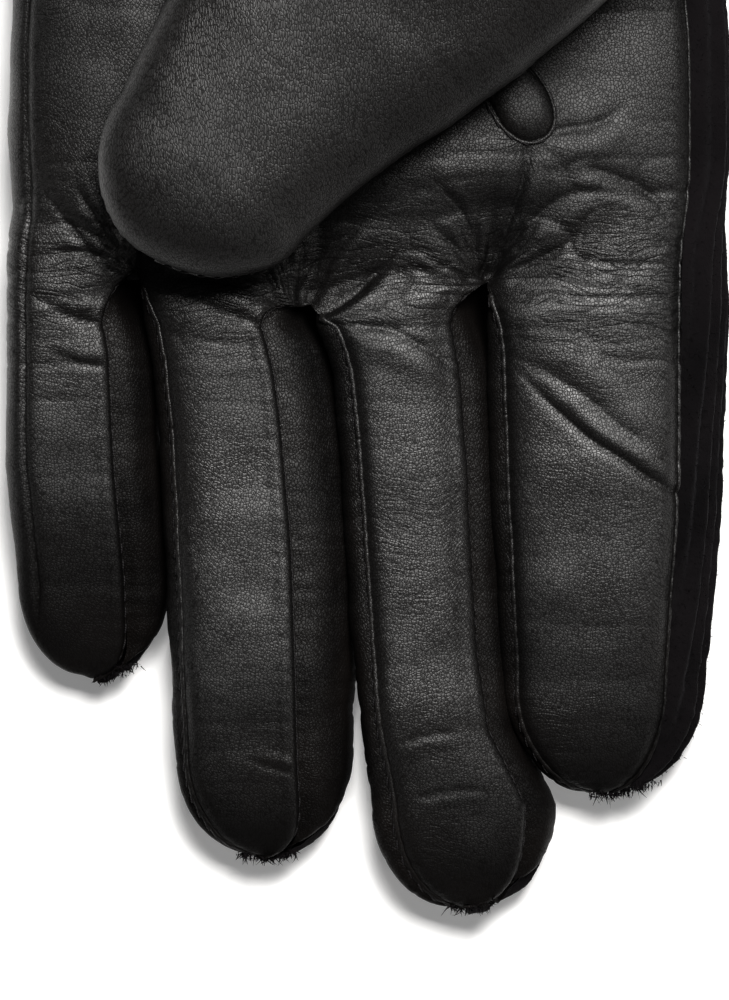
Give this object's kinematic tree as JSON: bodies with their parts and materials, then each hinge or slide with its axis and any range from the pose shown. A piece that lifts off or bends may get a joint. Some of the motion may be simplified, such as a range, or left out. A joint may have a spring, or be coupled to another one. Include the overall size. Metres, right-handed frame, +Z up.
{
  "type": "dress glove",
  "caption": "Left-hand dress glove with a leather palm and velvet back, lying palm up, thumb folded over the palm.",
  "frame": {"origin": "on the table, under the line of the finger crotches, near the middle of the hand", "axes": "+X towards the index finger's side, +Y towards the cuff, +Z up from the table, out of the palm"},
  "size_m": [0.1043, 0.25, 0.045],
  "materials": {
    "leather": "black, fine grain, soft sheen",
    "velvet": "black pile",
    "lining": "knitted",
    "elastic": "covered band"
  },
  "bodies": {
    "hand": {"palm_leather": "leather", "back_velvet": "velvet", "hand_lining": "lining", "thumb_tongue": "leather", "thumb_welt": "leather", "little_side_seam": "leather", "index_side_seam": "leather", "quirk_little_ring": "leather", "quirk_ring_middle": "leather", "quirk_middle_index": "leather", "wrist_elastic": "elastic"},
    "cuff": {"cuff_front": "leather", "cuff_back": "velvet", "cuff_lining": "lining", "cuff_hem": "leather"},
    "little_base": {"little_base_front": "leather", "little_base_back": "velvet", "little_base_lining": "lining", "little_base_fourchette": "leather"},
    "little_tip": {"little_tip_front": "leather", "little_tip_back": "velvet", "little_tip_lining": "lining", "little_tip_fourchette": "leather"},
    "ring_base": {"ring_base_front": "leather", "ring_base_back": "velvet", "ring_base_lining": "lining", "ring_base_outer_fourchette": "leather", "ring_base_inner_fourchette": "leather"},
    "ring_tip": {"ring_tip_front": "leather", "ring_tip_back": "velvet", "ring_tip_lining": "lining", "ring_tip_outer_fourchette": "leather", "ring_tip_inner_fourchette": "leather"},
    "middle_base": {"middle_base_front": "leather", "middle_base_back": "velvet", "middle_base_lining": "lining", "middle_base_outer_fourchette": "leather", "middle_base_inner_fourchette": "leather"},
    "middle_tip": {"middle_tip_front": "leather", "middle_tip_back": "velvet", "middle_tip_lining": "lining", "middle_tip_outer_fourchette": "leather", "middle_tip_inner_fourchette": "leather"},
    "index_base": {"index_base_front": "leather", "index_base_back": "velvet", "index_base_lining": "lining", "index_base_fourchette": "leather"},
    "index_tip": {"index_tip_front": "leather", "index_tip_back": "velvet", "index_tip_lining": "lining", "index_tip_fourchette": "leather"},
    "thumb_base": {"thumb_base_front": "leather", "thumb_base_back": "leather", "thumb_base_lining": "lining"},
    "thumb_tip": {"thumb_tip_front": "leather", "thumb_tip_back": "leather", "thumb_tip_lining": "lining"}
  },
  "joints": [
    {"name": "little_knuckle", "type": "hinge", "parent": "hand", "child": "little_base", "pos_m": [-0.0413, -0.004, 0.0195], "axis": [-1, 0, 0], "range_deg": [0, 70]},
    {"name": "little_bend", "type": "hinge", "parent": "little_base", "child": "little_tip", "pos_m": [-0.041, -0.027, 0.0164], "axis": [-1, 0, 0], "range_deg": [0, 85]},
    {"name": "ring_knuckle", "type": "hinge", "parent": "hand", "child": "ring_base", "pos_m": [-0.0188, -0.004, 0.0215], "axis": [-1, 0, 0], "range_deg": [0, 70]},
    {"name": "ring_bend", "type": "hinge", "parent": "ring_base", "child": "ring_tip", "pos_m": [-0.0153, -0.039, 0.0186], "axis": [-1, 0, 0], "range_deg": [0, 85]},
    {"name": "middle_knuckle", "type": "hinge", "parent": "hand", "child": "middle_base", "pos_m": [0.0055, -0.004, 0.0215], "axis": [-1, 0, 0], "range_deg": [0, 70]},
    {"name": "middle_bend", "type": "hinge", "parent": "middle_base", "child": "middle_tip", "pos_m": [0.0085, -0.042, 0.0187], "axis": [-1, 0, 0], "range_deg": [0, 85]},
    {"name": "index_knuckle", "type": "hinge", "parent": "hand", "child": "index_base", "pos_m": [0.0352, -0.004, 0.0225], "axis": [-1, 0, 0], "range_deg": [0, 70]},
    {"name": "index_bend", "type": "hinge", "parent": "index_base", "child": "index_tip", "pos_m": [0.0352, -0.035, 0.0195], "axis": [-1, 0, 0], "range_deg": [0, 85]},
    {"name": "thumb_swing", "type": "hinge", "parent": "hand", "child": "thumb_base", "pos_m": [0.031, 0.066, 0.0246], "axis": [-0.4691, 0.8832, 0], "range_deg": [0, 85]},
    {"name": "thumb_straighten", "type": "hinge", "parent": "thumb_base", "child": "thumb_tip", "pos_m": [0.0027, 0.0443, 0.0426], "axis": [-0.7011, 0.7131, 0], "range_deg": [0, 30]},
    {"name": "wrist_fold", "type": "hinge", "parent": "hand", "child": "cuff", "pos_m": [0, 0.096, 0.0216], "axis": [1, 0, 0], "range_deg": [0, 50]}
  ]
}
